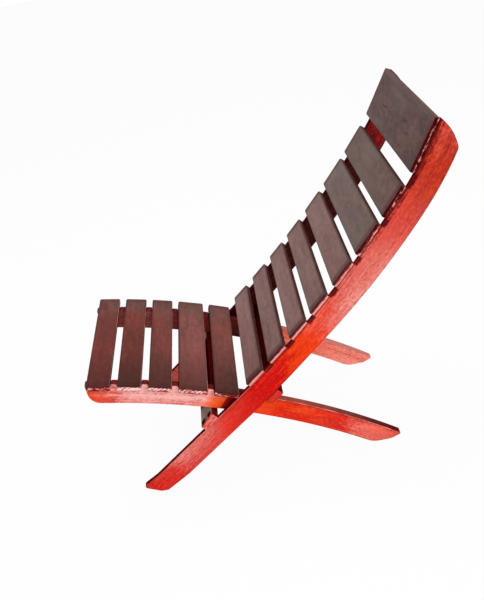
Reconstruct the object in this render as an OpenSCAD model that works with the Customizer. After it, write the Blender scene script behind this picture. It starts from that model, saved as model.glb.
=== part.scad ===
// Wooden lounge chair made of two slatted frames that lock through each other.
// The back frame stands on its front feet and leans back. The seat frame passes between its rails,
// under the rear crossbar and over the front crossbar, and its rails run on down to become the rear feet.
// X runs across the chair, with the sitter's left at +X. Y runs from the front to the rear. Z is up.
// The origin is on the floor at the middle of the chair.

/* [Overall] */
// Width over the back rails, which is also the length of every slat
chair_w = 460; // [400:5:560]
// Thickness of the back rails, across the chair
back_rail_t = 16; // [14:1:22]
// Thickness of the seat rails, across the chair
seat_rail_t = 24; // [18:1:26]
// Thickness of every slat
slat_t = 15; // [12:1:18]
// Radius on the long edges of the slats
slat_edge_r = 3; // [1:0.5:5]

/* [Back frame] */
// Height of the back rails' toes above the floor, at their front edges
toe_z = 30.3; // [29:0.1:33]
// Angle of the straight lower part of the back rails above the floor
back_angle = 37.9; // [37:0.1:39]
// Length of the straight lower part, from the toe
back_straight = 375; // [360:5:390]
// Radius of the long bend that carries most of the back slats
back_bend_r = 3140; // [3000:20:3300]
// Run along the rail where the head bend starts
head_start = 1110; // [1090:5:1140]
// Radius of the head bend
head_bend_r = 900; // [700:20:1200]
// Length of rail above the headboard
head_margin = 1; // [0.5:0.5:6]
// Radius of the back rail's head, at its rear
head_r = 20; // [16:1:24]
// Depth of the back rail from the feet to the middle of the back
back_depth = 68; // [60:1:72]
// Run along the rail at which its extra depth behind the shoulders begins
bulge_start = 650; // [600:10:700]
// Extra depth of the back rail behind the shoulders
back_bulge = 8; // [0:1:18]
// Widths of the back slats, from the lowest to the headboard
back_slat_w = [63, 64, 64, 67, 77, 94, 90, 138];
// Gaps between the back slats, from the lowest up
back_gap = [31, 28, 26, 31, 24, 21, 37];
// Run along the rail from the seat's crossing to the lower edge of the lowest slat
back_slat_rise = 50.5; // [46:0.5:68]

/* [Seat frame] */
// Run along the back rail at which the top edges of the seat rails cross its front edge
seat_cross = 412.5; // [405:0.5:420]
// Downward slope of the seat rails at that crossing
seat_slope = 24.06; // [23:0.01:25]
// Radius of the top edge of the seat rails, which are one long even curve
seat_curve_r = 1993; // [1980:1:2005]
// Depth of the seat rails
seat_depth = 63; // [56:1:63]
// Gap between a seat rail and the back rail beside it
side_gap = 10; // [4:1:12]
// Widths of the seat slats, from the front to the rear
seat_slat_w = [64, 65, 64, 80, 68];
// Gap between the seat slats
seat_gap = 18.4; // [14:0.2:18.4]
// Height that the seat rail stands up in each gap, because the rear slats are let into its edge
seat_tooth = [2.5, 3.5, 3.5, 2.5];
// Run along the seat rail from its front end to the first slat
seat_slat_start = 8; // [4:1:8]
// Gap between the last seat slat and the back rails that it stops against
stop_gap = 0.3; // [0.2:0.1:2]
// Length of the rear feet's soles
rear_sole = 56; // [50:1:60]
// Length by which the rear feet's tips reach past their soles
rear_tip = 5; // [0:0.5:6]
// Radius of the seat rails' rounded front ends
nose_r = 38; // [30:1:42]

/* [Crossbars] */
// Width of the front crossbar, along the back rails
front_bar_w = 56; // [40:1:62]
// Thickness of the front crossbar at its upper edge
front_bar_t = 25; // [20:1:26]
// Thickness of the front crossbar at its lower edge
front_bar_low_t = 16; // [12:1:20]
// Width of the rear crossbar, along the back rails
rear_bar_w = 45; // [36:1:50]
// Thickness of the rear crossbar
rear_bar_t = 22; // [18:1:24]
// Radius on the long edges of the crossbars
bar_edge_r = 2; // [1:0.5:4]
// Gap between the seat rails and the crossbars that they run between
slide_gap = 0.3; // [0.3:0.1:1.5]

/* [Fixings] */
// Radius of a nail shank
nail_r = 1.2; // [1:0.1:1.6]
// Radius of a nail head
nail_head_r = 2.2; // [1.8:0.1:3]
// Thickness of a nail head
nail_head_t = 1.5; // [1:0.1:2]
// Length of a nail
nail_len = 40; // [30:1:50]
// Radius of a screw shank
screw_r = 2; // [1.5:0.1:2.5]
// Radius of a screw head and of the hole that it is sunk in
screw_head_r = 3.5; // [3:0.1:4.5]
// Thickness of a screw head
screw_head_t = 3; // [2:0.5:4]
// Depth that a screw head is sunk below the crossbar's face
screw_sink = 4; // [1:0.5:8]
// Length of a screw
screw_len = 45; // [40:1:50]
// Distance of the front crossbar's screws from the middle of the back rails' edges, inwards
front_screw_shift = 4; // [0:0.5:5]

/* [Hidden] */
BACK_SLATS = ["back_slat_1", "back_slat_2", "back_slat_3", "back_slat_4",
    "back_slat_5", "back_slat_6", "back_slat_7", "back_slat_8"];
SEAT_SLATS = ["seat_slat_1", "seat_slat_2", "seat_slat_3", "seat_slat_4", "seat_slat_5"];

RAIL_RED = [0.80, 0.16, 0.08];
BAR_RED = [0.66, 0.12, 0.07];
BACK_BROWN = [0.34, 0.25, 0.23];
SEAT_BROWN = [0.30, 0.13, 0.11];
STEEL = [0.45, 0.43, 0.40];

back_rail_x = (chair_w - back_rail_t) / 2;
seat_rail_x = chair_w / 2 - back_rail_t - side_gap - seat_rail_t / 2;
step = 30;

// Corner p between a and b rounded to radius r, as points from a's side to b's
function round_corner(a, p, b, r, n = 6) =
    let (u = (a - p) / norm(a - p), v = (b - p) / norm(b - p))
    let (half = acos(u * v) / 2, c = p + (u + v) / norm(u + v) * r / sin(half))
    let (start = p + u * r / tan(half) - c, stop = p + v * r / tan(half) - c)
    let (a0 = atan2(start.y, start.x), a1 = atan2(stop.y, stop.x))
    let (turn = (a1 - a0 + 540) % 360 - 180)
    [for (i = [0:n]) c + r * [cos(a0 + turn * i / n), sin(a0 + turn * i / n)]];

// Curve from a to b that sets out towards p and comes in from it
function smooth_curve(a, p, b, n = 10) =
    [for (i = [0:n]) let (t = i / n) (1 - t) * (1 - t) * a + 2 * t * (1 - t) * p + t * t * b];

// Point at a run along an arc that leaves p at angle a and bends upwards with radius r
function arc_point(p, a, r, run) =
    let (b = a + run / r * 180 / PI) p + r * [sin(b) - sin(a), cos(a) - cos(b)];

function sum_to(list, n) = n == 0 ? 0 : list[n - 1] + sum_to(list, n - 1);

function heading(a) = [cos(a), sin(a)];
function behind(a) = [sin(a), -cos(a)];

// The back rail: its heading and front edge at a run along it, with its toe at y = 0
bend_a = back_angle;
bend_p = [0, toe_z] + back_straight * heading(bend_a);
head_a = bend_a + (head_start - back_straight) / back_bend_r * 180 / PI;
head_p = arc_point(bend_p, bend_a, back_bend_r, head_start - back_straight);
function back_heading(s) =
    s < back_straight ? bend_a
    : s < head_start ? bend_a + (s - back_straight) / back_bend_r * 180 / PI
    : head_a + (s - head_start) / head_bend_r * 180 / PI;
function back_curve(s) =
    s < back_straight ? [0, toe_z] + s * heading(bend_a)
    : s < head_start ? arc_point(bend_p, bend_a, back_bend_r, s - back_straight)
    : arc_point(head_p, head_a, head_bend_r, s - head_start);

// The seat slats end where the eased lower edge of the last one meets the back rails
seat_slats_l = seat_slat_start + sum_to(seat_slat_w, len(seat_slat_w)) + (len(seat_slat_w) - 1) * seat_gap;
meeting_a = seat_slope + back_heading(seat_cross);
stop_run = (stop_gap + slat_edge_r * (1 - cos(meeting_a))) / sin(meeting_a) - slat_edge_r;
seat_front_a = seat_slope - (seat_slats_l + stop_run) / seat_curve_r * 180 / PI;
function seat_centre_from(cross) = cross - seat_curve_r * [sin(seat_slope), cos(seat_slope)];

back_slat_start = seat_cross + back_slat_rise;

// The origin lies halfway between the seat's front end and the back rails' heads
back_len = back_slat_start + sum_to(back_slat_w, len(back_slat_w)) + sum_to(back_gap, len(back_gap))
    + head_margin;
head_inset = [62, 47.5];
function head_corner_from(top) =
    top - head_inset[0] * heading(back_heading(back_len)) + head_inset[1] * behind(back_heading(back_len));
front_end = seat_centre_from(back_curve(seat_cross)).x + seat_curve_r * sin(seat_front_a);
middle = (front_end + head_corner_from(back_curve(back_len)).x + head_r) / 2;

function back_front(s) = back_curve(s) - [middle, 0];
function back_depth_at(s) =
    back_depth + (s > bulge_start ? back_bulge * sin(180 * (s - bulge_start) / (back_len - bulge_start)) : 0);
function back_rear(s) = back_front(s) + back_depth_at(s) * behind(back_heading(s));

function back_slat_run(i) = back_slat_start + sum_to(back_slat_w, i) + sum_to(back_gap, i);
function back_slat_ends(i) =
    [back_front(back_slat_run(i)), back_front(back_slat_run(i) + back_slat_w[i])];

// The seat rail: a point at a run along its top edge, at a height above that edge.
// The seat frame slides along this curve
seat_centre = seat_centre_from(back_front(seat_cross));
function seat_point(s, h = 0) =
    let (a = seat_front_a + s / seat_curve_r * 180 / PI)
    seat_centre + (seat_curve_r + h) * [sin(a), cos(a)];
function seat_slat_run(i) = seat_slat_start + sum_to(seat_slat_w, i) + i * seat_gap;
function seat_slat_ends(i) =
    [seat_point(seat_slat_run(i)), seat_point(seat_slat_run(i) + seat_slat_w[i])];

// The first run between two at which a point of the back rail passes a radius about the seat's centre
function run_past(point, r, s0, s1, n = 24) =
    let (m = (s0 + s1) / 2)
    n == 0 ? m
    : norm(point(m) - seat_centre) > r ? run_past(point, r, s0, m, n - 1) : run_past(point, r, m, s1, n - 1);

// The crossbars' edges next to the seat rails, found from the eased corners that come nearest to them
front_bar_lean = atan2(front_bar_t - front_bar_low_t, front_bar_w);
front_bar_easing = bar_edge_r * (tan(front_bar_lean) + 1 / cos(front_bar_lean));
front_bar_top = run_past(
    function(s) back_front(s - bar_edge_r) - (front_bar_t - front_bar_easing) * behind(back_heading(s)),
    seat_curve_r - seat_depth - slide_gap - bar_edge_r, 0, back_slat_start);
rear_bar_low = run_past(
    function(s) back_rear(s + bar_edge_r) + (rear_bar_t - bar_edge_r) * behind(back_heading(s)),
    seat_curve_r + slide_gap + bar_edge_r, 0, head_start);

// Back rail outline. Its edges are planed flat under each slat and under the rear crossbar.
// The toe turns up a little in front of the sole. The head sweeps down to the rear from the headboard
toe_r = 9;
toe_tip = back_front(-12) - 7 * behind(bend_a);
toe_flare = 50;
sole_front = back_front(0).x + 37;
sole_back = back_front(0).x + 58;
sole_front_r = 20;
sole_back_r = 10;
heel_run = 90;
head_corner = head_corner_from(back_front(back_len));
head_top_a = 10;
head_top_reach = 42;
head_top = head_corner + head_r * heading(head_top_a);
function back_outline() = concat(
    round_corner([sole_front, 0], toe_tip, back_front(toe_flare), toe_r),
    [back_front(toe_flare)],
    [for (s = [back_straight:step:back_slat_start - 10]) back_front(s)],
    [for (i = [0:len(back_slat_w) - 1]) each back_slat_ends(i)],
    smooth_curve(back_front(back_len), head_top + head_top_reach * heading(head_top_a + 90), head_top),
    [for (a = [head_top_a - 5:-5:-25]) head_corner + head_r * heading(a)],
    [for (s = [back_len - 4 * head_r:-step:rear_bar_low + rear_bar_w + 10]) back_rear(s)],
    [back_rear(rear_bar_low + rear_bar_w), back_rear(rear_bar_low)],
    [for (s = [rear_bar_low - 10:-step:heel_run + 5]) back_rear(s)],
    round_corner(back_rear(heel_run), [sole_back, 0], [sole_front, 0], sole_back_r),
    round_corner([sole_back, 0], [sole_front, 0], toe_tip, sole_front_r));

// The seat rail's top edge in the gap behind slat i, clear of the slats on both sides of it
tooth_gap = 0.4;
tooth_draft = 0.6;
function tooth(i) =
    let (a = seat_slat_run(i) + seat_slat_w[i] + tooth_gap, b = a + seat_gap - 2 * tooth_gap)
    [seat_point(a), seat_point(a + tooth_draft, seat_tooth[i]),
        seat_point(b - tooth_draft, seat_tooth[i]), seat_point(b)];

// Seat rail outline. Its top edge is cut flat under each slat
rear_sole_a = acos(-seat_centre.y / (seat_curve_r - seat_depth));
rear_sole_front = seat_centre + (seat_curve_r - seat_depth) * [sin(rear_sole_a), cos(rear_sole_a)];
rear_sole_back = rear_sole_front + [rear_sole, 0];
seat_len = (rear_sole_a - seat_front_a) / 180 * PI * seat_curve_r + rear_sole + rear_tip;
leg_tip = seat_point(seat_len);
leg_end_r = 4;
leg_tip_r = 40;
sole_r = 60;
nose_top_r = 4;
function seat_outline() = concat(
    [for (i = [0:len(seat_slat_w) - 1]) each concat(seat_slat_ends(i), i < len(seat_tooth) ? tooth(i) : [])],
    [for (s = [seat_slats_l + 10:step:seat_len - leg_tip_r]) seat_point(s)],
    round_corner(seat_point(seat_len - leg_tip_r / 2), leg_tip, rear_sole_back, leg_end_r),
    round_corner(leg_tip, rear_sole_back, rear_sole_front, leg_tip_r),
    round_corner(rear_sole_back, rear_sole_front, seat_point(seat_len - 2 * rear_sole, -seat_depth), sole_r),
    [for (s = [seat_len - 2.3 * rear_sole:-step:seat_depth]) seat_point(s, -seat_depth)],
    round_corner(seat_point(seat_depth * 0.8, -seat_depth), [seat_point(0).x, seat_point(4, -seat_depth).y],
        seat_point(0), nose_r, 8),
    round_corner([seat_point(0).x, seat_point(0).y - seat_depth / 2], seat_point(0),
        seat_point(seat_slat_start), nose_top_r));

// Frame with its origin at a, its Y towards b and its Z square to them, upwards and forwards
module along(a, b) {
    translate([0, a.x, a.y]) rotate([atan2(b.y - a.y, b.x - a.x), 0, 0]) children();
}

// A flat shape in Y and Z carried across the chair, centred on x
module across(x, t) {
    translate([x - t / 2, 0, 0]) rotate([90, 0, 90]) linear_extrude(t) children();
}

// Cross-section of a board with eased long edges, low_t thick at its start and t thick at its end
module eased_section(w, low_t, t, r) {
    corners = [[0, 0], [w, 0], [w, t], [0, low_t]];
    polygon([for (i = [0:3]) each round_corner(corners[(i + 3) % 4], corners[i], corners[(i + 1) % 4], r)]);
}

// One nail, driven along -Z with its head flush at the origin
module nail() {
    translate([0, 0, -nail_len]) cylinder(r = nail_r, h = nail_len, $fn = 24);
    translate([0, 0, -nail_head_t]) cylinder(r = nail_head_r, h = nail_head_t, $fn = 24);
}

// One screw, driven along -Z with its head sunk below the origin
module screw() {
    translate([0, 0, -screw_sink - screw_len]) cylinder(r = screw_r, h = screw_len, $fn = 24);
    translate([0, 0, -screw_sink - screw_head_t]) cylinder(r = screw_head_r, h = screw_head_t, $fn = 32);
}

// Two fixings at each end of a board, at x and on the face of its eased_section
module fixings(w, low_t, t, x) {
    for (side = [-1, 1], k = [0.25, 0.75])
        translate([side * x, w * k, low_t + (t - low_t) * k]) children();
}

// The nails of a slat, into the rails at x
module slat_nails(ends, x) {
    along(ends[0], ends[1]) fixings(norm(ends[1] - ends[0]), slat_t, slat_t, x) nail();
}

// The sinkings for those nail heads, open at the slat's face
module slat_nail_sinks(ends, x) {
    along(ends[0], ends[1]) fixings(norm(ends[1] - ends[0]), slat_t, slat_t, x)
        translate([0, 0, -nail_head_t]) cylinder(r = nail_head_r, h = slat_t, $fn = 24);
}

module slat(ends, x) {
    w = norm(ends[1] - ends[0]);
    difference() {
        along(ends[0], ends[1]) across(0, chair_w) eased_section(w, slat_t, slat_t, slat_edge_r);
        slat_nails(ends, x);
        slat_nail_sinks(ends, x);
    }
}

module back_nails() {
    for (i = [0:len(back_slat_w) - 1]) slat_nails(back_slat_ends(i), back_rail_x);
}

module seat_nails() {
    for (i = [0:len(seat_slat_w) - 1]) slat_nails(seat_slat_ends(i), seat_rail_x);
}

// A screw with the hole that its head is sunk in, open at the crossbar's face
module screw_hole() {
    screw();
    translate([0, 0, -screw_sink - 0.01]) cylinder(r = screw_head_r, h = screw_sink + 1, $fn = 32);
}

module on_front_bar() {
    along(back_front(front_bar_top - front_bar_w), back_front(front_bar_top)) children();
}
module at_front_screws() {
    on_front_bar() fixings(front_bar_w, front_bar_low_t, front_bar_t, back_rail_x - front_screw_shift)
        children();
}

// The rear crossbar lies on the rails' rear edges, so its frame faces down and back
rear_bar_chord = [back_rear(rear_bar_low), back_rear(rear_bar_low + rear_bar_w)];
module on_rear_bar() {
    along(rear_bar_chord[1], rear_bar_chord[0]) children();
}
rear_bar_l = norm(rear_bar_chord[1] - rear_bar_chord[0]);
module at_rear_screws() {
    on_rear_bar() fixings(rear_bar_l, rear_bar_t, rear_bar_t, back_rail_x) children();
}

module back_rail(side) {
    color(RAIL_RED) difference() {
        across(side * back_rail_x, back_rail_t) polygon(back_outline());
        back_nails();
        at_front_screws() screw();
        at_rear_screws() screw();
    }
}

module seat_rail(side) {
    color(RAIL_RED) difference() {
        across(side * seat_rail_x, seat_rail_t) polygon(seat_outline());
        seat_nails();
    }
}

module back_slat(i) {
    color(BACK_BROWN) slat(back_slat_ends(i), back_rail_x);
}

module seat_slat(i) {
    color(SEAT_BROWN) slat(seat_slat_ends(i), seat_rail_x);
}

module front_crossbar() {
    color(BACK_BROWN) difference() {
        on_front_bar() across(0, chair_w)
            eased_section(front_bar_w, front_bar_low_t, front_bar_t, bar_edge_r);
        at_front_screws() screw_hole();
    }
}

module rear_crossbar() {
    color(BAR_RED) difference() {
        on_rear_bar() across(0, chair_w) eased_section(rear_bar_l, rear_bar_t, rear_bar_t, bar_edge_r);
        at_rear_screws() screw_hole();
    }
}

back_rail(1);  // back_rail_left
back_rail(-1);  // back_rail_right
seat_rail(1);  // seat_rail_left
seat_rail(-1);  // seat_rail_right
for (i = [0:len(BACK_SLATS) - 1])
    back_slat(i);
for (i = [0:len(SEAT_SLATS) - 1])
    seat_slat(i);
front_crossbar();
rear_crossbar();
color(STEEL) back_nails();  // back_slat_nails
color(STEEL) seat_nails();  // seat_slat_nails
color(STEEL) at_front_screws() screw();  // front_crossbar_screws
color(STEEL) at_rear_screws() screw();  // rear_crossbar_screws
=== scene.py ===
# %% [markdown]
# # A slatted lounge chair in red and brown stain
# The chair is two wooden frames that lock through each other. One is the back, which stands on its own two
# feet in front. The other is the seat, whose long rails run on behind the back as the rear feet. Their
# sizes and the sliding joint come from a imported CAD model, which is loaded here as a fixed frame. Blender
# adds what a saw, a plane and a brush leave on real wood: eased edges, grain, uneven stain, and varnish.

# %% Load the frame
import math

import bmesh
import bpy
from mathutils import Matrix, Vector


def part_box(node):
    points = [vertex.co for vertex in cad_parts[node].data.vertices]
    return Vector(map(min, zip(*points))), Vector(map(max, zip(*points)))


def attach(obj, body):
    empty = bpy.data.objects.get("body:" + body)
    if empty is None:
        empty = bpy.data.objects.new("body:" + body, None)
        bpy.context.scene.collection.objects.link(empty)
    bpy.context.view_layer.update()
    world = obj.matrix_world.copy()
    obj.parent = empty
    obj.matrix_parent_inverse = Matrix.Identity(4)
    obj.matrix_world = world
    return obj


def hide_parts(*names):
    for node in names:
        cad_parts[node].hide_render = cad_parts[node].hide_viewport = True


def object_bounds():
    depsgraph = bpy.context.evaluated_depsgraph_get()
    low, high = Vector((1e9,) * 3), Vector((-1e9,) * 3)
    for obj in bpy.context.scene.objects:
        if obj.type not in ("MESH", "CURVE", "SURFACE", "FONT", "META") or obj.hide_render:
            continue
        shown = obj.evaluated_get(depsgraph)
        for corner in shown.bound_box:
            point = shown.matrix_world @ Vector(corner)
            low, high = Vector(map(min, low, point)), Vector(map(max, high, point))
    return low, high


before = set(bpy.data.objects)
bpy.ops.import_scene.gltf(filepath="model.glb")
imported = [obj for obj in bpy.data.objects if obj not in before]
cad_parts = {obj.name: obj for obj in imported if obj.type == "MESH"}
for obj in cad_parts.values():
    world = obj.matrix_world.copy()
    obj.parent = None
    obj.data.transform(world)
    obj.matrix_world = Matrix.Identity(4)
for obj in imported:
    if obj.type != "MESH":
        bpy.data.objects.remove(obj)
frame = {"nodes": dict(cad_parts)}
cad_box = [list(corner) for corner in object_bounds()]
nodes = frame["nodes"]
print("nodes:", len(nodes), "box:", cad_box)

# %% [markdown]
# The picture was taken from the sitter's left, a little above the chair, with the camera rolled. Three unit
# vectors give the camera's right, up and back directions, which are the columns of its matrix. They could
# be set as angles too, but a measured matrix goes in as it is.

# %% Camera
PICTURE_HEIGHT_PX = 600
FOCAL_LENGTH_PX = 733.653
SENSOR_MM = 36.0
CAMERA_PLACE = Vector((1.81752, 0.01617, 1.55551))

right = Vector((0.078373, 0.977842, -0.194118))
up = Vector((-0.513463, 0.206497, 0.832895))
back = Vector((0.854525, 0.034396, 0.518270))
camera_data = bpy.data.cameras.new("camera")
camera_data.sensor_fit = "VERTICAL"
camera_data.sensor_height = SENSOR_MM
camera_data.lens = SENSOR_MM * FOCAL_LENGTH_PX / PICTURE_HEIGHT_PX
camera = bpy.data.objects.new("camera", camera_data)
bpy.context.collection.objects.link(camera)
camera.matrix_world = Matrix.Translation(CAMERA_PLACE) @ Matrix((right, up, back)).transposed().to_4x4()
bpy.context.scene.camera = camera
bpy.context.scene.view_settings.view_transform = "Standard"
print("lens:", round(camera_data.lens, 2), "mm")

# %% [markdown]
# A varnished board shows two things: light that sinks into the stain, and a mirror image of the room on
# top. A white floor and a white room give the mirror something to show. One large window on the near side
# makes the near faces brighter than the top ones. A sun lamp would do it too, but its shadows are harder
# than the ones of a room. Everything is kept near a strength of one, at which a colour renders about as it
# is written.

# %% Lights
CHAIR_MIDDLE = Vector((0, 0, 0.4))


def area_light(name, place, size, power):
    data = bpy.data.lights.new(name, "AREA")
    data.shape = "RECTANGLE"
    data.size, data.size_y = size
    data.energy = power
    lamp = bpy.data.objects.new(name, data)
    bpy.context.collection.objects.link(lamp)
    lamp.location = place
    lamp.rotation_euler = (CHAIR_MIDDLE - Vector(place)).to_track_quat("-Z", "Y").to_euler()
    print(name, power, "W")


area_light("window", (3.0, 1.2, 2.3), (2.2, 1.8), 78)
area_light("sky_panel", (-0.9, -0.6, 3.2), (2.5, 2.5), 50)

# %% [markdown]
# Shader maths reads best as plain sums. `Value` wraps one socket and adds a Math node for each sum. `Nodes`
# holds a node tree, and all its nodes come from one method, which sets a node's own settings before its
# sockets. The same nodes could be placed by hand in the editor, but a wood finish takes a hundred of them.

# %% Sums on sockets
class Value:
    def __init__(self, nodes, socket):
        self.nodes, self.socket = nodes, socket

    def sum(self, operation, *others):
        return self.nodes.add("Math", {"operation": operation}, 0, self, *others)

    def away(self, middle):
        """How far this value lies from another, whichever side it is on."""
        return (self - middle).sum("ABSOLUTE")

    def swing(self, share):
        """A noise as a sum to add: it swings about zero, because a noise's middle is a half."""
        return (self - 0.5) * share

    def __add__(self, other):
        return self.sum("ADD", other)

    def __radd__(self, other):
        return self.sum("ADD", other)

    def __sub__(self, other):
        return self.sum("SUBTRACT", other)

    def __rsub__(self, other):
        return self.nodes.add("Math", {"operation": "SUBTRACT"}, 0, other, self)

    def __mul__(self, other):
        return self.sum("MULTIPLY", other)

    def __rmul__(self, other):
        return self.sum("MULTIPLY", other)

    def __truediv__(self, other):
        return self.sum("DIVIDE", other)

    def __pow__(self, other):
        return self.sum("POWER", other)


# %% Nodes from one method
class Nodes:
    def __init__(self, tree):
        self.tree = tree

    def add(self, kind, settings=None, output=0, *values, numbered=None, **named):
        """One node. Its sockets are filled in order, by their number, or by their name."""
        node = self.tree.nodes.new("ShaderNode" + kind)
        for key, value in (settings or {}).items():
            if key == "stops":
                self.set_stops(node.color_ramp, value)
            else:
                setattr(node, key, value)
        by_name = {key.replace("_", " "): value for key, value in named.items()}
        for key, value in (dict(enumerate(values)) | (numbered or {}) | by_name).items():
            self.put(node.inputs[key], value)
        return Value(self, node.outputs[output])

    def set_stops(self, ramp, stops):
        ramp.interpolation = "EASE"
        while len(ramp.elements) < len(stops):
            ramp.elements.new(0.5)
        for element, (place, shade) in zip(ramp.elements, stops):
            element.position = place
            element.color = (*shade, 1)

    def put(self, socket, value):
        if isinstance(value, Value):
            self.tree.links.new(value.socket, socket)
        elif isinstance(value, tuple) and len(value) == 3 and socket.type == "RGBA":
            socket.default_value = (*value, 1)
        else:
            socket.default_value = value

    def camera_sees(self):
        """1 for what the camera sees, also in gloss or glass, and 0 for the light that a thing gives."""
        seen = self.add("LightPath", None, "Is Camera Ray")
        for kind in ("Is Glossy Ray", "Is Transmission Ray"):
            seen = seen.sum("MAXIMUM", self.add("LightPath", None, kind))
        return seen


# %% A finish
class Finish(Nodes):
    """One material, with the few steps that all the finishes are made of."""
    def __init__(self, name):
        self.material = bpy.data.materials.new(name)
        self.material.use_nodes = True
        super().__init__(self.material.node_tree)
        self.surface = self.tree.nodes["Principled BSDF"]

    def noise(self, place, fineness, detail, rough, bend=0.0, shift=(0, 0, 0)):
        """Noise with its own fineness along, across and through a board, about in spots to a metre."""
        place = self.add("Mapping", None, 0, Vector=place, Scale=fineness, Location=shift)
        return self.add("TexNoise", None, 0, Vector=place, Scale=1.0, Detail=detail, Roughness=rough,
                        Distortion=bend)

    def ease(self, value, low, high, out_low=0.0, out_high=1.0):
        return self.add("MapRange", {"interpolation_type": "SMOOTHSTEP"}, 0,
                        value, low, high, out_low, out_high)

    def only(self, number, wanted):
        """1 on the board that has the wanted number, and 0 on the others."""
        return self.ease(number.away(wanted), 0.4, 0.3)

    def clamp(self, value):
        return self.add("Clamp", None, 0, value)

    def own(self, name):
        """One of the mesh's own attributes, whole and as its three parts."""
        whole = self.add("Attribute", {"attribute_name": name}, 1)
        parts = self.add("SeparateXYZ", None, 0, whole).socket.node.outputs
        return whole, Value(self, parts[0]), Value(self, parts[1]), Value(self, parts[2])

    def shifted(self, place, number):
        """A place moved far along by a board's number, so that no two boards share their grain."""
        return self.add("VectorMath", {"operation": "ADD"}, 0, place,
                        self.add("CombineXYZ", None, 0, number * 3.1, number * 0.37, 0.0))

    def tint(self, colour, factor):
        return self.add("VectorMath", {"operation": "SCALE"}, 0, colour, Scale=factor)

    def ramp(self, value, stops):
        """Reads a list of places and their colours, or their plain numbers, at a value."""
        stops = [(place, shade if isinstance(shade, tuple) else (shade,) * 3) for place, shade in stops]
        return self.add("ValToRGB", {"stops": stops}, 0, value)

    def paint(self, mask, under, over):
        """One colour over another where the mask is 1. A Mix node has its two colours at sockets 6 and 7."""
        return self.add("Mix", {"data_type": "RGBA"}, 2, numbered={0: mask, 6: under, 7: over})

    def bump(self, height, strength, distance):
        return self.add("Bump", None, 0, Height=height, Strength=strength, Distance=distance)

    def finish(self, **sockets):
        for key, value in sockets.items():
            self.put(self.surface.inputs[key.replace("_", " ")], value)
        return self.material


# %% [markdown]
# Grain runs along a board, whichever way the board lies. So each board carries its own grain coordinates as
# an attribute: metres along it, across it and through it. A second attribute, `board`, holds its number,
# and with it what its finish asks for. On a slat or a crossbar that is half its width and how pale its sawn
# ends are. On a rail it is how far a point lies along the rail and how deep below its front edge. A third
# holds the colour of a slat's stain, because every slat took the stain a little differently.

# %% Numbers of the boards
HEADBOARD = 8
FIRST_SEAT_SLAT = 11
FRONT_CROSSBAR, REAR_CROSSBAR = 17, 18
BACK_RAIL_NUMBERS = {"left": 21, "right": 22}
SEAT_RAIL_NUMBERS = {"left": 23, "right": 24}
HALF_WIDTH = cad_box[1][0]
SLAT_THICKNESS, CROSSBAR_THICKNESS = 0.015, 0.025
RAIL_DEPTH = 0.06
BACK_RAIL_LENGTH, SEAT_RAIL_LENGTH = 1.34, 0.95
print("half width:", round(HALF_WIDTH, 4), "m")

# %% [markdown]
# Wood is worked here as it is in a shop: a flat outline is sawn out, eased, cut and drilled. The outline
# comes from the CAD node, whose largest flat face is kept and extruded again. The CAD mesh could be
# bevelled as it is, but its small nail holes, which no one sees, would spoil the bevels.

# %% Sawing and easing
MERGE_DISTANCE = 1e-5
FLAT_ANGLE = math.radians(0.6)
SHARP_ANGLE = math.radians(40)
SIDEWAYS = Vector((1, 0, 0))


def cad_copy(name):
    """The CAD node's mesh as one closed bmesh with plain flat faces."""
    bm = bmesh.new()
    bm.from_mesh(nodes[name].data)
    bmesh.ops.remove_doubles(bm, verts=bm.verts, dist=MERGE_DISTANCE)
    bmesh.ops.dissolve_limit(bm, angle_limit=FLAT_ANGLE, verts=bm.verts, edges=bm.edges)
    return bm


def sawn_out(node, side=1):
    """A clean solid with the CAD node's outline and thickness, and without its small holes."""
    bm = cad_copy(node)
    profile = max((f for f in bm.faces if f.normal.x * side > 0.99), key=lambda f: f.calc_area())
    low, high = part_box(node)
    bmesh.ops.delete(bm, geom=[f for f in bm.faces if f is not profile], context="FACES")
    grown = bmesh.ops.extrude_face_region(bm, geom=list(bm.faces))
    bmesh.ops.translate(bm, verts=[v for v in grown["geom"] if isinstance(v, bmesh.types.BMVert)],
                        vec=(-side * (high[0] - low[0]), 0, 0))
    bmesh.ops.recalc_face_normals(bm, faces=bm.faces)
    return bm


def is_end(face):
    return abs(face.normal.x) > 0.99


def ease_ends(bm, radius, segments):
    """Softens the edges between the faces that look sideways and the ones round them."""
    edges = [e for e in bm.edges
             if len(e.link_faces) == 2 and is_end(e.link_faces[0]) != is_end(e.link_faces[1])]
    bmesh.ops.bevel(bm, geom=edges, offset=radius, offset_type="OFFSET", affect="EDGES", segments=segments,
                    profile=0.5, material=-1, clamp_overlap=False)


def cut_by_plane(bm, point, normal):
    bmesh.ops.bisect_plane(bm, geom=bm.verts[:] + bm.edges[:] + bm.faces[:], dist=1e-6, plane_co=point,
                           plane_no=normal)


# %% Drilling
SQUARE_REACH = 1.35
RIM_SHARE = 0.2


def drill(bm, centre, normal, bore, radius, depth):
    """A round blind hole: a small square is cut free on the face, rounded inside, and sunk."""
    for side in (SIDEWAYS, SIDEWAYS.cross(normal)):
        for way in (-1, 1):
            cut_by_plane(bm, centre + way * SQUARE_REACH * radius * side, side)
    square = min((f for f in bm.faces if f.normal.dot(normal) > 0.99),
                 key=lambda f: (f.calc_center_median() - centre).length)
    bmesh.ops.subdivide_edges(bm, edges=square.edges[:], cuts=3)
    bmesh.ops.inset_individual(bm, faces=[square], thickness=radius * RIM_SHARE)
    for vertex in square.verts:
        vertex.co = centre + (vertex.co - centre).normalized() * radius
    sunk = bmesh.ops.extrude_discrete_faces(bm, faces=[square])["faces"]
    bmesh.ops.translate(bm, verts=sunk[0].verts[:], vec=-depth * bore)


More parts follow.
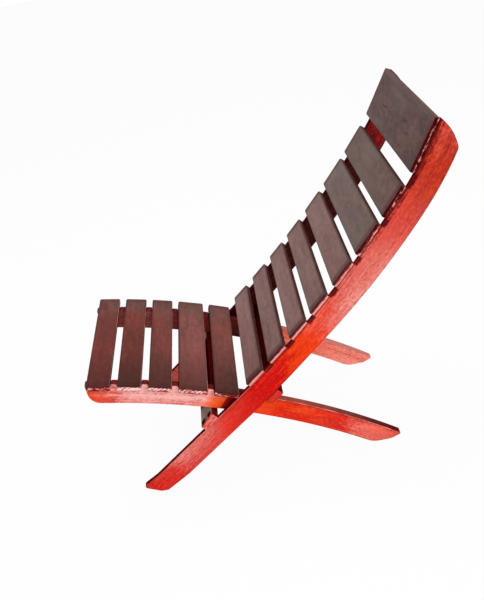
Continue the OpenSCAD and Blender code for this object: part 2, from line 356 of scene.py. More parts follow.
# %% From a bmesh to a piece of the chair
def write(mesh, name, vector_at):
    layer = mesh.attributes.new(name, "FLOAT_VECTOR", "POINT")
    for index, vertex in enumerate(mesh.vertices):
        layer.data[index].vector = vector_at(vertex.co)


def finish_piece(bm, name, body, node, materials, attributes, which):
    """`which` tells the number of the material for a face, and each attribute is a function of a place."""
    mesh = bpy.data.meshes.new(name)
    for face in bm.faces:
        face.smooth = True
        face.material_index = which(face)
    bm.to_mesh(mesh)
    bm.free()
    for material in materials:
        mesh.materials.append(material)
    mesh.set_sharp_from_angle(angle=SHARP_ANGLE)
    for key, vector_at in attributes.items():
        write(mesh, key, vector_at)
    piece = bpy.data.objects.new(name, mesh)
    bpy.context.collection.objects.link(piece)
    weighted = piece.modifiers.new("even_shading", "WEIGHTED_NORMAL")
    weighted.keep_sharp = True
    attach(piece, body)
    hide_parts(node)
    print(name, len(mesh.polygons), "faces")


# %% [markdown]
# The broad faces of the slats are nearly plain: a thin brown stain under satin varnish. The stain is the
# board's own, and a board darkens towards its ends. Streaks follow the grain, and slow blotches lean warm
# or green. A dull strip runs along the top of the headboard. The rim is darker, and so is the tip next to
# its sawn end. The far ends of the seat slats turn greyer. A few knots and smudges, most of them on the
# headboard, are placed one by one, because noise never puts one where it belongs. The front crossbar is the
# same on its two ends, but matt. Its middle, which lies under the seat, is painted dark red as painted
# shade, and the wood round its screw holes is dark red too.

# %% Colours and varnish
# How bright a stain is in dark marks and in pale ones, as shares of its own colour.
SOAKED, RUBBED = 0.38, 1.5


def from_screen(*rgb):
    """A colour as it looks on a screen, 0 to 255, as the linear numbers that a shader takes."""
    return tuple((c / 255 / 12.92) if c < 10 else ((c / 255 + 0.055) / 1.055) ** 2.4 for c in rgb)


def varnish(f, **sockets):
    """The surface settings that all the varnished wood shares. Its stain tints the light it reflects."""
    return f.finish(Specular_IOR_Level=0.08, Coat_Weight=0.03, Coat_Roughness=0.3,
                    Specular_Tint=(1.0, 0.5, 0.44, 1.0), **sockets)


def planed(f, place, fineness, fine_bump):
    """Under the fine relief a planed face has a slow wave, which bends what it reflects."""
    wave = f.noise(place, fineness, 2.0, 0.5)
    return f.add("Bump", None, 0, Height=wave, Strength=0.25, Distance=0.003, Normal=fine_bump)


# %% Faces of the slats
def slat_face(name, far_end, near_end, warm, cool, tip_colour, tips=0.8, marks=(), shade_and_dirt=None, far_grey=None):
    f = Finish(name)
    grain, along, across, _ = f.own("grain")
    _, number, half, _ = f.own("board")
    stain = f.add("Attribute", {"attribute_name": "stain"}, 1)
    place = f.shifted(grain, number)
    fibre = f.noise(place, (10, 380, 380), 4.0, 0.65)
    band = f.noise(place, (2.5, 70, 70), 4.0, 0.65, 0.4)
    mottle = f.noise(place, (38, 75, 75), 3.0, 0.6)
    blotch = f.noise(place, (6, 16, 16), 4.0, 0.6)
    cloud = f.noise(place, (4, 10, 10), 3.0, 0.55, shift=(7, 3, 1))
    tone = fibre.swing(0.6) + band.swing(0.4) + mottle.swing(0.8) + blotch.swing(1.0)
    bent = along + blotch.swing(0.08)
    shade = (tone + 1.0) * f.ease(bent, 0.0, 0.22, 1.0, near_end) * f.ease(bent, -0.24, -0.12, far_end, 1.0)
    colour = f.tint(stain, shade)
    drift = cloud + mottle.swing(0.3)
    colour = f.paint(f.ease(drift, 0.47, 0.68, 0.0, 0.35), colour, f.tint(warm, shade))
    colour = f.paint(f.ease(drift, 0.52, 0.32, 0.0, 0.35), colour, f.tint(cool, shade))
    # The far ends of the seat slats turn greyer.
    if far_grey:
        greying = f.ease(along + blotch.swing(0.16), -0.1, -0.2, 0.0, 0.6)
        colour = f.paint(greying, colour, f.tint(far_grey, shade))
    out = along.sum("ABSOLUTE")
    # The tip next to the sawn end is darker.
    tip = f.ease(out + mottle.swing(0.008), HALF_WIDTH - 0.026, HALF_WIDTH - 0.011, 0.0, tips)
    colour = f.paint(tip, colour, f.tint(tip_colour, shade))
    rim = half - across.sum("ABSOLUTE") + band.swing(0.003)
    colour = f.paint(f.ease(rim, 0.0062, 0.0022, 0.0, 0.7), colour, f.tint(stain, SOAKED))
    # Painted shade: the front crossbar's middle, under the seat, is dark red; the same red marks the wood
    # round its screw holes.
    if shade_and_dirt:
        colour = f.paint(f.ease(out + blotch.swing(0.04), 0.17, 0.14), colour, shade_and_dirt)
    top = f.only(number, HEADBOARD) * f.ease(across + half, 0.0125, 0.009)
    colour = f.paint(top * 0.4, colour, f.tint(warm, 0.62))
    for wanted, x, y, length, width, strength in marks:
        reach = ((along - x) / length) ** 2.0 + ((across - y + (along - x) * 0.1) / width) ** 2.0
        ragged = reach + mottle.swing(2.6) + band.swing(1.6)
        here = f.only(number, wanted) * f.ease(ragged, 1.3, 0.3)
        mark = shade_and_dirt or f.tint(stain, SOAKED if strength > 0 else RUBBED)
        colour = f.paint(here * abs(strength), colour, mark)
    relief = planed(f, place, (9, 20, 20), f.bump(fibre * 0.5 + band * 0.5, 0.2, 0.0005))
    rough = f.ease(cloud, 0.35, 0.7, 0.3, 0.46) + fibre * 0.08
    varnish(f, Base_Color=colour, Roughness=rough, Normal=relief)
    return f.finish(Specular_IOR_Level=0.0, Coat_Weight=0.0) if shade_and_dirt else f.material


# %% [markdown]
# The long narrow faces drank more stain than the broad ones, and are matt and dark: darker stain, and
# painted shade too, as little light falls on them. An arris, the ridge between two faces, is paler in
# places: a painted highlight where the rounded ridge catches the light, and wear where hands and knees rub
# it. Both could be painted on one material by the way a face looks, but a finish of its own for each keeps
# them sharp, and one function makes them all. A rail's edge changes along the rail, so its colour may be a
# list, and one board may differ from the rest.

# %% Narrow faces and worn ridges
def dark_edge(name, dark, light, amount, rims=None, other=None, length=1.0):
    f = Finish(name)
    grain, _, across, through = f.own("grain")
    _, number, run, _ = f.own("board")
    place = f.shifted(grain, number)
    streak = f.noise(place, (6, 220, 220), 3.0, 0.6)
    patch = f.noise(place, (24, 60, 60), 4.0, 0.7)
    if isinstance(dark, list):
        dark = f.ramp((run + patch.swing(0.06)) / length, dark)
        light = f.tint(dark, 1.8)
    colour = f.paint(f.ease(streak * 0.5 + patch * 0.6, 0.45, 0.68) * amount, dark, light)
    if other:
        wanted, shade, share, start = other
        here = f.only(number, wanted) * f.ease(run, start, start + 0.08)
        colour = f.paint(here * share, colour, shade)
    if rims:
        inside = through.away(-SLAT_THICKNESS / 2) / (SLAT_THICKNESS / 2) + streak.swing(0.5)
        headboard_top = f.ease(number, HEADBOARD - 0.6, HEADBOARD - 0.4) * f.ease(across, 0.0, -0.01)
        colour = f.paint(f.ease(inside, 0.45, 0.8), colour, rims)
        colour = f.paint(headboard_top * 0.85, colour, from_screen(116, 88, 80))
    return f.finish(Base_Color=colour, Roughness=streak * 0.2 + 0.5, Specular_IOR_Level=0.0,
                    Normal=f.bump(streak, 0.25, 0.0006))


# %% Finishes of the slats and the front crossbar
# A mark is a board's number, a place along and across it, its length, its width and its strength.
slat_marks = (
    (HEADBOARD, -0.106, 0.008, 0.03, 0.0035, 0.8),
    (HEADBOARD, 0.066, -0.008, 0.026, 0.004, 0.55),
    (HEADBOARD, 0.115, 0.011, 0.024, 0.004, 0.6),
    (HEADBOARD, -0.036, -0.03, 0.034, 0.006, 0.3),
    (HEADBOARD, -0.175, -0.038, 0.03, 0.01, 0.35),
    (HEADBOARD, 0.004, 0.008, 0.03, 0.004, -0.35),
    (6, 0.17, 0.004, 0.03, 0.006, 0.35),
    (4, -0.06, -0.01, 0.04, 0.008, 0.35),
    (2, 0.1, 0.006, 0.04, 0.005, 0.3))
hole_marks = (
    (FRONT_CROSSBAR, 0.218, -0.014, 0.01, 0.01, 1.0),
    (FRONT_CROSSBAR, 0.218, 0.014, 0.01, 0.01, 1.0))
back_slat_face = slat_face(
    "back_slat_face", 0.97, 0.9, warm=from_screen(130, 98, 94), cool=from_screen(108, 94, 82),
    tip_colour=from_screen(80, 34, 34), marks=slat_marks)
seat_slat_face = slat_face(
    "seat_slat_face", 0.8, 0.46, warm=from_screen(142, 66, 60), cool=from_screen(96, 54, 44),
    tip_colour=from_screen(70, 20, 18), tips=0.35, marks=((FIRST_SEAT_SLAT, -0.19, 0.02, 0.03, 0.02, 0.4),),
    far_grey=from_screen(112, 78, 72))
# The front crossbar's dark red middle is painted shade under the seat.
crossbar_brown = slat_face(
    "crossbar_brown", 0.9, 1.0, warm=from_screen(150, 122, 114), cool=from_screen(132, 118, 108),
    tip_colour=from_screen(140, 116, 108), marks=hole_marks, shade_and_dirt=from_screen(52, 4, 6))
back_slat_edge = dark_edge(
    "back_slat_edge", from_screen(80, 42, 40), from_screen(112, 80, 74), 0.6, rims=from_screen(52, 6, 8))
seat_slat_edge = dark_edge("seat_slat_edge", from_screen(34, 6, 8), from_screen(84, 34, 32), 0.5)
# Painted highlight along the front ridge of each seat slat, with some wear.
seat_slat_arris = dark_edge("seat_slat_arris", from_screen(124, 74, 68), from_screen(176, 130, 124), 1.0)
print("finishes:", [m.name for m in bpy.data.materials if m.use_nodes])

# %% [markdown]
# The rails' broad faces carry the show. They were stained twice, red over orange, and the orange comes
# through where the red ran thin, also in small amber patches. Some lengths are painted pale: a painted
# sheen, the reflection of the bright room on the varnish, more at one edge than at the other. All that
# changes along a rail, so each rail has lists of colours, of sheen and of its lean along its run, and noise
# bends the borders between them. They could be painted by hand on an image, but a list is shorter and has
# no pixels. Painted shade lies along the front edge beside the slats, most at the head, in pools beside the
# gaps between the slats, and as a painted shadow where the rails cross. There the painted sheen stays away.
# A rail is sawn from a straight plank, so fibres, veins and specks run straight through it. Brush marks and
# mottling follow its curve.

# %% Faces of the rails
EVEN = [(0.0, 0.5), (1.0, 0.5)]
AMBER, FRONT_SHADE = from_screen(250, 100, 24), from_screen(112, 8, 12)
POOL_SHADE, CROSSING_SHADE = from_screen(56, 3, 6), from_screen(140, 8, 10)


def rail_face(name, length, stains, sheen, lean=EVEN, pale=from_screen(244, 178, 168), amber=0.0, front=None,
              gap_shadows=(), crossing_shadow=None):
    f = Finish(name)
    grain, _, _, through = f.own("grain")
    _, number, run, depth = f.own("board")
    plank = f.shifted(grain, number)
    curve = f.shifted(f.add("CombineXYZ", None, 0, run, depth, through), number)
    fibre = f.noise(plank, (14, 420, 420), 4.0, 0.7)
    vein = f.noise(plank, (3, 130, 130), 2.0, 0.5, 0.5, shift=(3, 1, 0))
    speck = f.noise(plank, (260, 700, 700), 2.0, 0.6)
    streak = f.noise(curve, (3.5, 190, 190), 4.0, 0.65, 0.3)
    line = f.noise(curve, (2.2, 300, 300), 3.0, 0.6, 0.4, shift=(0, 5, 2))
    mottle = f.noise(curve, (100, 150, 150), 3.0, 0.65)
    blotch = f.noise(curve, (10, 24, 24), 4.0, 0.62, 0.3)
    lower = depth / RAIL_DEPTH - 0.5
    wander = blotch.swing(0.2) + streak.swing(0.1) + mottle.swing(0.06)

    colour = f.ramp((run + wander + lower * 0.05) / length, stains)
    rough_head = f.ease(run / length, 0.8, 0.9) * 0.8 + 1.0
    tone = (fibre.swing(0.5) + streak.swing(0.8) + mottle.swing(0.65) + blotch.swing(0.5)) * rough_head
    colour = f.tint(colour, tone + 1.0)
    patch = f.ease(blotch * 0.7 + mottle * 0.3, 0.48, 0.66) * amber
    colour = f.paint(patch, colour, AMBER)
    # Painted shade: the face darkens within a centimetre of its front edge, beside the slats.
    colour = f.tint(colour, f.ease(depth + mottle.swing(0.01), 0.0, 0.01, 0.66, 1.0))

    painted_shade = 0.0
    # Painted shade along the front edge, as listed along the rail, heaviest at the head.
    if front:
        near_edge = f.ease(depth + (mottle + streak - 1.0) * 0.03, 0.001, 0.012, 1.0, 0.0)
        painted_shade = f.ramp(run / length, front) * near_edge
        colour = f.paint(painted_shade, colour, FRONT_SHADE)
    # Painted shadows on the rail beside each gap between the slats.
    for middle, reach in gap_shadows:
        beside = f.ease(run.away(middle), reach * 1.3, reach * 0.8)
        gap_shadow = beside * f.ease(depth + mottle.swing(0.006), 0.011, 0.004)
        colour = f.paint(gap_shadow * 0.9, colour, POOL_SHADE)
        painted_shade = painted_shade + gap_shadow
    # Painted shadow of the back rail on the seat rail, where the two cross.
    if crossing_shadow:
        start, end = crossing_shadow
        slanted = run + depth * 0.3 + (mottle + streak - 1.0) * 0.008
        cast_shadow = f.ease(slanted, start, start + 0.007) * f.ease(run, end, end - 0.02)
        colour = f.paint(cast_shadow * 0.95, colour, CROSSING_SHADE)
        painted_shade = painted_shade + cast_shadow

    veins = f.ease(vein, 0.6, 0.68) * f.ease(blotch, 0.4, 0.6)
    colour = f.paint(veins * 0.35, colour, f.tint(colour, 0.35))
    colour = f.paint(f.ease(line, 0.55, 0.66) * 0.4, colour, f.tint(colour, 0.42))
    # Painted sheen: the room's reflection on the varnish, painted pale into the colour and leaning to one
    # edge.
    slope = (f.ramp(run / length, lean) - 0.5) * lower * 4.0 + 1.0
    cover = f.ramp((run + wander * 0.8) / length, sheen) * slope * (1.0 - patch)
    lustre = streak.swing(2.4) + mottle.swing(2.6) + fibre.swing(1.2) + blotch.swing(1.4) + 1.0
    stray_sheen = f.ease(streak * 0.5 + mottle * 0.5, 0.5, 0.62) * 0.03
    colour = f.paint(f.clamp(cover * lustre + stray_sheen) * f.clamp(1.0 - painted_shade), colour, pale)
    relief = planed(f, curve, (10, 24, 24), f.bump(fibre * 0.5 + streak * 0.5 + speck * 0.2, 0.35, 0.0007))
    rough = f.ease(blotch, 0.35, 0.7, 0.28, 0.44) + fibre * 0.1
    return varnish(f, Base_Color=colour, Roughness=rough, Normal=relief)


# %% [markdown]
# Each list below gives places along a rail, from the front foot up on a back rail and from the front of the
# seat back on a seat rail. They are shares of the length that the finish names, or metres where it names
# none. The inner faces of the far rails show through the gaps, dark where the chair shades them.

# %% Finishes of the back rails
# Above this place the inner face keeps one colour.
INNER_REACH = 1.2
bright, red, orange = from_screen(222, 34, 22), from_screen(206, 6, 2), from_screen(232, 54, 8)
rose, deep, deep_shade = from_screen(212, 50, 34), from_screen(176, 44, 24), from_screen(64, 4, 6)
back_rail_side = rail_face(
    "back_rail_side", BACK_RAIL_LENGTH,
    [(0.0, bright), (0.25, bright), (0.33, red), (0.41, red), (0.47, orange), (0.55, orange), (0.62, rose),
     (0.8, from_screen(200, 46, 30)), (0.88, deep), (0.95, deep), (1.0, rose)],
    # The second list is the painted sheen along the rail, and the lean moves it towards one edge.
    [(0.0, 0.0), (0.06, 0.03), (0.13, 0.32), (0.18, 0.24), (0.26, 0.03), (0.36, 0.0), (0.5, 0.0),
     (0.57, 0.2), (0.63, 0.34), (0.7, 0.24), (0.8, 0.06), (0.9, 0.0), (1.0, 0.06)],
    lean=[(0.0, 0.2), (0.25, 0.2), (0.45, 0.5), (0.6, 0.75), (0.75, 0.7), (1.0, 0.5)],
    amber=0.12,
    # Painted shade along the front edge, heaviest at the head.
    front=[(0.0, 0.0), (0.7, 0.0), (0.78, 0.45), (0.85, 0.95), (0.97, 0.95), (1.0, 0.4)],
    # Painted shadows beside the gaps between the back slats: places along the rail and their reaches.
    gap_shadows=((0.5415, 0.015), (0.635, 0.014), (0.726, 0.013), (0.8215, 0.015), (0.926, 0.012), (1.0426, 0.010),
           (1.161, 0.018)))
# Painted shade: the inner face is dark where the slats and the near rail shade it; its lower end stays
# bright.
back_inner_side = rail_face(
    "back_inner_side", INNER_REACH,
    [(0.0, bright), (0.22, bright), (0.3, deep_shade), (0.84, deep_shade), (0.91, from_screen(82, 6, 9)),
     (1.0, from_screen(140, 22, 18))],
    # The second list is the painted sheen.
    [(0.0, 0.25), (0.2, 0.25), (0.3, 0.0), (1.0, 0.0)])
back_rail_edge = dark_edge(
    "back_rail_edge", from_screen(96, 8, 12), from_screen(140, 34, 30), 0.5,
    # The far back rail's edge is darker from 0.3 m up: painted shade.
    other=(BACK_RAIL_NUMBERS["right"], from_screen(40, 4, 6), 0.6, 0.3))
# Painted highlight along the outer upper ridge of the back rails, with some wear; dark towards the head.
back_arris = dark_edge(
    "back_arris_highlight_and_wear",
    [(0.0, from_screen(196, 56, 50)), (0.12, from_screen(232, 120, 110)), (0.36, from_screen(236, 110, 100)),
     (0.42, from_screen(126, 28, 28)), (0.67, from_screen(126, 28, 28)), (0.77, from_screen(110, 14, 16)),
     (1.0, from_screen(96, 10, 14))],
    None, 0.8, length=BACK_RAIL_LENGTH)
print("back rails:", [m.name for m in (back_rail_side, back_inner_side, back_rail_edge, back_arris)])

# %% Finishes of the seat rails and the rear crossbar
leg_red, far_red, shaded_red = from_screen(222, 32, 4), from_screen(255, 92, 60), from_screen(116, 18, 22)
seat_rail_side = rail_face(
    "seat_rail_side", SEAT_RAIL_LENGTH,
    [(0.0, orange), (0.06, orange), (0.12, rose), (0.32, rose), (0.37, from_screen(255, 98, 38)),
     (0.42, from_screen(255, 90, 28)), (0.46, orange), (0.53, from_screen(242, 64, 12)), (0.62, leg_red),
     (0.68, from_screen(228, 40, 4)), (0.78, leg_red), (0.88, from_screen(240, 70, 34)), (1.0, rose)],
    # The second list is the painted sheen along the rail, and the lean moves it towards one edge.
    [(0.0, 0.0), (0.06, 0.14), (0.14, 0.88), (0.28, 0.98), (0.345, 0.85), (0.405, 0.02), (0.6, 0.0),
     (0.78, 0.02), (0.86, 0.22), (1.0, 0.15)],
    lean=[(0.0, 0.3), (0.3, 0.3), (0.36, 0.2), (0.45, 0.3), (0.6, 0.5), (1.0, 0.6)],
    # The crossing is the painted shadow of the back rail on the seat rail.
    pale=from_screen(255, 184, 178), amber=0.35, crossing_shadow=(0.399, 0.47))
# Painted shade on the seat rail's inner face under the slats; its far leg stays bright.
seat_inner_side = rail_face(
    "seat_inner_side", SEAT_RAIL_LENGTH,
    [(0.0, shaded_red), (0.4, shaded_red), (0.5, deep_shade), (0.64, far_red), (1.0, far_red)],
    # The second list is the painted sheen.
    [(0.0, 0.05), (0.2, 0.08), (0.3, 0.02), (0.6, 0.0), (0.7, 0.28), (0.8, 0.24), (0.9, 0.38), (1.0, 0.38)],
    pale=from_screen(255, 192, 180), amber=0.12)
seat_rail_edge = dark_edge(
    "seat_rail_edge",
    [(0.0, from_screen(110, 36, 34)), (0.42, from_screen(90, 26, 26)), (0.58, from_screen(176, 84, 74)),
     (0.72, from_screen(132, 68, 60)), (0.86, from_screen(100, 38, 34)), (0.95, from_screen(100, 12, 14))],
    None, 0.6, other=(SEAT_RAIL_NUMBERS["right"], from_screen(242, 150, 140), 0.7, 0.55))
crossbar_red = dark_edge("crossbar_stain", from_screen(72, 7, 9), from_screen(116, 20, 18), 0.6)
# Painted highlight along the outer upper ridge of the seat rails, with some wear.
arris = dark_edge("arris_highlight_and_wear", from_screen(214, 70, 60), from_screen(250, 170, 160), 1.0)
print("seat rails:", [m.name for m in (seat_rail_side, seat_inner_side, seat_rail_edge, arris)])

# %% [markdown]
# A sawn end shows the ends of the fibres as specks, and on the seat slats the saw left scores across it.
# Some ends took a thick dark coat and show only a painted glint in the middle, the rear crossbar's least of
# all, and others are pale, partly bare end grain and partly a painted sheen: each board says how pale its
# own ends are. The upper and lower rims stay dark. An end could have a picture of real end grain, but a few
# noises give every end its own.

# %% Sawn ends
def sawn_end(name, dark, stain, pale, lined, saw, thickness, upper):
    f = Finish(name)
    grain, _, across, through = f.own("grain")
    _, number, _, cover = f.own("board")
    place = f.shifted(grain, number)
    lines = f.noise(place, (1, 36, 420), 3.0, 0.6, 0.3)
    patch = f.noise(place, (1, 70, 110), 3.0, 0.6)
    speck = f.noise(place, (1, 600, 600), 2.0, 0.7)
    wave = (across * 0.75 + through) * 640.0 + patch.swing(14) + number * 2
    score = f.ease(wave.sum("SINE"), -0.2, 0.8)
    level = cover + lines.swing(lined) + patch.swing(1.2) - score * saw
    below = -1.0 * through / thickness + patch.swing(0.3)
    # A painted glint along the middle of an end's thickness.
    glint = f.ease(below.away(0.55), 0.3, 0.12) * f.ease(lines * 0.55 + patch * 0.45, 0.5, 0.56) * 0.7
    glint = glint * f.ease(number, REAR_CROSSBAR - 0.6, REAR_CROSSBAR - 0.4, 1.0, 0.2)
    colour = f.paint(f.ease(cover + patch.swing(0.6), 0.1, 0.6), dark, stain)
    # Pale ends: partly bare end grain and partly a painted sheen.
    bare_and_sheen = f.clamp(f.ease(level, 0.35, 0.6) + glint)
    colour = f.paint(bare_and_sheen, colour, f.tint(pale, speck * 0.5 + lines * 0.5 + 0.5))
    colour = f.paint(f.ease(below, upper, upper - 0.2) * 0.95, colour, dark)
    colour = f.paint(f.ease(below, 0.82, 1.0) * 0.8, colour, dark)
    return f.finish(Base_Color=colour, Roughness=speck * 0.2 + 0.45, Specular_IOR_Level=0.0,
                    Normal=f.bump(level * 0.3 + speck * 0.4, 0.3, 0.0006))


back_slat_end = sawn_end(
    "back_slat_end", from_screen(64, 8, 10), from_screen(186, 76, 72), from_screen(232, 150, 144),
    lined=2.2, saw=0.0, thickness=SLAT_THICKNESS, upper=0.6)
seat_slat_end = sawn_end(
    "seat_slat_end", from_screen(84, 14, 16), from_screen(176, 60, 56), from_screen(252, 204, 202),
    lined=1.5, saw=0.6, thickness=SLAT_THICKNESS, upper=0.25)
crossbar_end = sawn_end(
    "crossbar_end", from_screen(204, 48, 36), from_screen(214, 84, 78), from_screen(232, 130, 122),
    lined=0.6, saw=0.0, thickness=CROSSBAR_THICKNESS, upper=0.2)
print("finishes:", len([m for m in bpy.data.materials if m.use_nodes]))

# %% [markdown]
# A rail's lists of colours need to know how far along the rail a point lies. The seat rail is one arc, so
# an angle gives that. The back rail is a straight, a long bend and a shorter head bend, so the nearest of
# many stations along its front edge gives it.

# %% Curves of the rails
TOE, BACK_ANGLE = Vector((-0.44497, 0.0303)), math.radians(37.9)
STRAIGHT, HEAD_START, HEAD_LENGTH = 0.375, 1.110, 0.24
STATION_STEP = 0.01
BEND_R, HEAD_R = 3.140, 0.900
SEAT_CENTRE, SEAT_R, SEAT_START = Vector((-0.93214, -1.53598)), 1.993, math.radians(11.93)


def back_stations(step=STATION_STEP):
    """Places and headings along the back rail's front edge, from the toe up."""
    stations, point, angle, run = [], TOE.copy(), BACK_ANGLE, 0.0
    for length, radius in ((STRAIGHT, None), (HEAD_START - STRAIGHT, BEND_R), (HEAD_LENGTH, HEAD_R)):
        for _ in range(round(length / step)):
            stations.append((run, point.copy(), Vector((math.cos(angle), math.sin(angle)))))
            turn = step / radius if radius else 0.0
            point += step * Vector((math.cos(angle + turn / 2), math.sin(angle + turn / 2)))
            angle, run = angle + turn, run + step
    return stations


BACK_STATIONS = back_stations()


def back_rail_run(co):
    flat = Vector((co.y, co.z))
    run, point, heading = min(BACK_STATIONS, key=lambda station: (station[1] - flat).length_squared)
    reach = flat - point
    return run + reach.dot(heading), reach.x * heading.y - reach.y * heading.x


def seat_rail_run(co):
    flat = Vector((co.y, co.z)) - SEAT_CENTRE
    return (math.atan2(flat.x, flat.y) - SEAT_START) * SEAT_R, SEAT_R - flat.length


print("stations on a back rail:", len(BACK_STATIONS))

# %% [markdown]
# A rail is sawn from a plank: one flat outline with thickness, its long edges eased. Planes then cut it
# into short lengths across its curve. They leave its shape alone, but they give it the vertices that its
# attributes are held at, so that these follow the curve between the ends. Subdividing it all would do that
# too, with many more faces.

# %% The four rails
RAIL_EASING = 0.003
LENGTH_OF_CUT = 0.03
SEAT_CUTS = 31
BACK_GRAIN, SEAT_GRAIN = math.radians(49), math.radians(-25)


def plank_grain(angle, x_of_face):
    """Grain that runs straight through a plank at an angle above level."""
    along = Vector((math.cos(angle), math.sin(angle)))
    return lambda co: (co.y * along.x + co.z * along.y, co.z * along.x - co.y * along.y, co.x - x_of_face)


def rail(kind, word, side, finishes, run_at, grain_angle, planes, number):
    """The finishes are those of the outer face, the inner face, the edges and the outer upper ridge."""
    node = f"{kind}_rail_{word}"
    bm = sawn_out(node, side)
    low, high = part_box(node)
    ease_ends(bm, RAIL_EASING, 3)
    for point, heading in planes:
        cut_by_plane(bm, (0, *point), (0, *heading))

    def which(face):
        outwards = face.normal.x * side
        if abs(outwards) > 0.9:
            return 0 if outwards > 0 else 1
        return 3 if outwards > 0.35 and face.normal.z > 0 else 2

    finish_piece(bm, "stained_" + node, kind + "_frame", node, finishes, {
        "grain": plank_grain(grain_angle, (low[0] + high[0]) / 2),
        "board": lambda co: (number, *run_at(co))}, which)


back_finishes = [back_rail_side, back_inner_side, back_rail_edge, back_arris]
every = round(LENGTH_OF_CUT / STATION_STEP)
back_planes = [(point, heading) for run, point, heading in BACK_STATIONS[every::every]]
seat_finishes = [seat_rail_side, seat_inner_side, seat_rail_edge, arris]
seat_planes = []
for cut in range(1, SEAT_CUTS + 1):
    angle = SEAT_START + cut * LENGTH_OF_CUT / SEAT_R
    seat_planes.append((SEAT_CENTRE + SEAT_R * Vector((math.sin(angle), math.cos(angle))),
                        Vector((math.cos(angle), -math.sin(angle)))))
for side, word in ((1, "left"), (-1, "right")):
    rail("back", word, side, back_finishes, back_rail_run, BACK_GRAIN, back_planes, BACK_RAIL_NUMBERS[word])
    rail("seat", word, side, seat_finishes, seat_rail_run, SEAT_GRAIN, seat_planes, SEAT_RAIL_NUMBERS[word])

# %% [markdown]
# A slat is a flat board. Its outline comes from the CAD node's sawn end, so its long edges are already
# eased. The arrises round its ends are softened here, and its corners are rounded in its own plane, the far
# ones more than the near ones. A bevel could round them, but it would run into the softened arrises, so the
# ends are cut at a few places and drawn in. Then the holes for its fixings are drilled. Its upper face
# tells which way its grain coordinates lie. The crossbars are boards too. The rear one lies on the rear
# edges of the rails, so its outer face, with the screws, looks down.

# %% Corners of a board
CORNER_RADIUS = 0.006
NEAR_CORNER = 0.12
END_ZONE = 0.003
CORNER_TURNS = (0.0, 25.0, 45.0, 62.0, 78.0)


def round_corners(bm, middle, across, half):
    """Round the four corners of a board in its own plane: cuts give the ends points, which are drawn in."""
    inner = half - CORNER_RADIUS
    for turn in CORNER_TURNS:
        reach = inner + CORNER_RADIUS * math.sin(math.radians(turn))
        for way in (-1, 1):
            cut_by_plane(bm, middle + way * reach * across, across)
    tip = max(v.co.x for v in bm.verts)
    for vertex in bm.verts:
        over = abs((vertex.co - middle).dot(across)) - inner
        if over > 0 and abs(vertex.co.x) > tip - END_ZONE:
            drop = CORNER_RADIUS - math.sqrt(max(CORNER_RADIUS ** 2 - over ** 2, 0.0))
            share = NEAR_CORNER if vertex.co.x > 0 else 1.0
            vertex.co.x -= math.copysign(drop * share, vertex.co.x)


# %% A board
END_EASING = 0.0012
SMALL_FACE = 3e-5


def board(node, body, finishes, number, stain, cover, holes, faces_up=True):
    """The finishes are those of the broad faces, the long edges, the sawn ends and the ridge."""
    bm = sawn_out(node)
    outer_faces = [f for f in bm.faces if not is_end(f) and (f.normal.z > 0) == faces_up]
    broad = max(outer_faces, key=lambda f: f.calc_area())
    normal, middle = broad.normal.copy(), broad.calc_center_median()
    across = SIDEWAYS.cross(normal).normalized()
    half = max(abs((v.co - middle).dot(across)) for v in bm.verts)
    flat_width = broad.calc_area() / max(e.calc_length() for e in broad.edges)
    quarter = (flat_width + 2 * holes["easing"]) / 4
    ease_ends(bm, END_EASING, 2)
    round_corners(bm, middle, across, half)
    for side in (-1, 1):
        for way in (-1, 1):
            centre = middle + side * holes["x"] * SIDEWAYS + way * quarter * across
            drill(bm, centre, normal, holes.get("bore", normal), holes["radius"], holes["depth"])

    def which(face):
        if abs(face.normal.x) > 0.6 and abs(face.calc_center_median().x) > HALF_WIDTH - 0.002:
            return 2
        lean = face.normal.dot(across)
        if lean < -0.3 and face.normal.dot(normal) > 0.3:
            return 3
        in_a_hole = face.calc_area() < SMALL_FACE and abs(face.normal.x) > 0.05
        return 1 if abs(lean) > 0.8 or in_a_hole else 0

    finish_piece(bm, "stained_" + node, body, node, finishes, {
        "grain": lambda co: (co.x, (co - middle).dot(across), (co - middle).dot(normal)),
        "board": lambda co: (number, half, cover),
        "stain": lambda co: stain}, which)


# %% [markdown]
# Each slat's own stain and the paleness of its sawn ends are listed from the lowest back slat up, and from
# the front seat slat back.

# %% Slats
back_nails = {"x": 0.222, "radius": 0.0024, "depth": 0.0016, "easing": 0.003}
seat_nails = dict(back_nails, x=0.192)
back_boards = (((135, 96, 93), 0.8), ((125, 91, 88), 0.75), ((132, 96, 92), 0.8), ((120, 90, 85), 0.7),
               ((127, 93, 89), 0.62), ((104, 83, 78), 0.3), ((94, 70, 64), 0.2), ((71, 44, 38), 0.08))
seat_boards = (((103, 43, 36), 0.35), ((98, 43, 34), 0.95), ((109, 55, 48), 0.62), ((129, 74, 69), 0.58),
               ((112, 63, 56), 0.3))
back_slat_finishes = [back_slat_face, back_slat_edge, back_slat_end, back_slat_face]
seat_slat_finishes = [seat_slat_face, seat_slat_edge, seat_slat_end, seat_slat_arris]
for i, (shade, cover) in enumerate(back_boards, 1):
    board(f"back_slat_{i}", "back_frame", back_slat_finishes, i,
          from_screen(*shade), cover, back_nails)
for i, (shade, cover) in enumerate(seat_boards, 1):
    board(f"seat_slat_{i}", "seat_frame", seat_slat_finishes, FIRST_SEAT_SLAT - 1 + i,
          from_screen(*shade), cover, seat_nails)
print("slats:", len(back_boards), "on the back,", len(seat_boards), "on the seat")

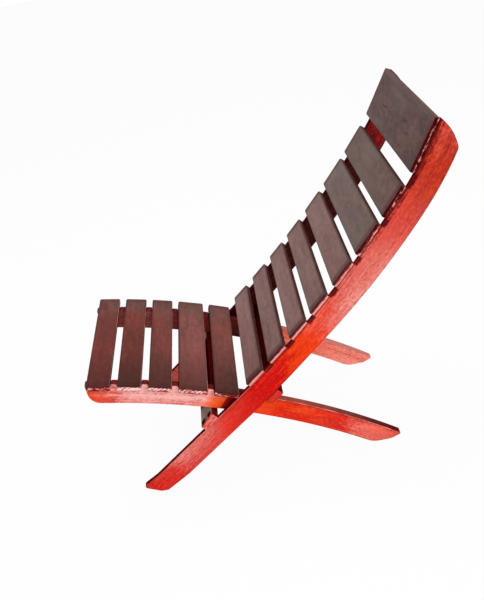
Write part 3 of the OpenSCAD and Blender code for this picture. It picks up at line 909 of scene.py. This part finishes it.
# %% Crossbars
crossbar_screws = {"radius": 0.0038, "depth": 0.0045, "easing": 0.002}
front_bore = Vector((0, -math.sin(BACK_ANGLE), math.cos(BACK_ANGLE)))
board("front_crossbar", "back_frame",
      [crossbar_brown, back_rail_edge, crossbar_end, crossbar_brown], FRONT_CROSSBAR,
      from_screen(190, 160, 150), 0.5, dict(crossbar_screws, x=0.218, bore=front_bore))
board("rear_crossbar", "back_frame",
      [crossbar_red, crossbar_red, crossbar_end, crossbar_red], REAR_CROSSBAR,
      from_screen(150, 30, 24), 0.05, dict(crossbar_screws, x=0.222), faces_up=False)

# %% [markdown]
# The nails and screws sit deep in their holes, so little of them shows but dark worn steel. They could be
# modelled again with finer heads, but that would not show, so the CAD solids only take that finish.

# %% Nails and screws
def dark_steel():
    f = Finish("dark_steel")
    place = f.add("TexCoord", None, "Object")
    wear = f.noise(place, (900, 900, 900), 3.0, 0.6)
    colour = f.paint(f.ease(wear, 0.35, 0.7), from_screen(40, 24, 22), from_screen(74, 56, 50))
    return f.finish(Base_Color=colour, Metallic=f.ease(wear, 0.4, 0.7, 0.0, 0.4), Roughness=wear * 0.4 + 0.4,
                    Specular_IOR_Level=0.1, Normal=f.bump(wear, 0.3, 0.0002))


steel = dark_steel()
for name in ("back_slat_nails", "seat_slat_nails", "front_crossbar_screws", "rear_crossbar_screws"):
    nodes[name].data.materials.clear()
    nodes[name].data.materials.append(steel)
    print(name, "in", steel.name)

# %% [markdown]
# The floor is plain and pale, and reaches far past the picture. To the camera, and in reflections, it is
# mostly pure white, with enough of its real shading left to keep the chair's shadow. The room is white to
# them too. More light could make them as white, but it would bleach the chair, so what floor and room give
# the chair is weaker than what the camera sees.

# %% Floor
FLOOR_DROP = 0.0005
bm = bmesh.new()
bmesh.ops.create_grid(bm, x_segments=1, y_segments=1, size=12)
floor_mesh = bpy.data.meshes.new("floor")
bm.to_mesh(floor_mesh)
bm.free()
floor = bpy.data.objects.new("floor", floor_mesh)
floor.location.z = -FLOOR_DROP
bpy.context.collection.objects.link(floor)
f = Finish("pale_floor")
f.finish(Base_Color=(0.86, 0.86, 0.87), Roughness=0.7)
glow = f.add("Emission", None, 0, (1, 1, 1), 1.0)
mixed = f.add("MixShader", None, 0, f.camera_sees() * 0.95, Value(f, f.surface.outputs[0]), glow)
f.put(f.tree.nodes["Material Output"].inputs["Surface"], mixed)
floor_mesh.materials.append(f.material)
print("floor at", floor.location.z)

# %% Room
world = bpy.data.worlds.new("room")
world.use_nodes = True
bpy.context.scene.world = world
room = Nodes(world.node_tree)
given = room.tree.nodes["Background"]
room.put(given.inputs["Color"], (1, 0.97, 0.94))
room.put(given.inputs["Strength"], 0.4)
white = room.add("Background", None, 0, (1, 1, 1), 1.0)
choice = room.add("MixShader", None, 0, room.camera_sees(), Value(room, given.outputs[0]), white)
room.put(room.tree.nodes["World Output"].inputs["Surface"], choice)
print("world:", world.name)
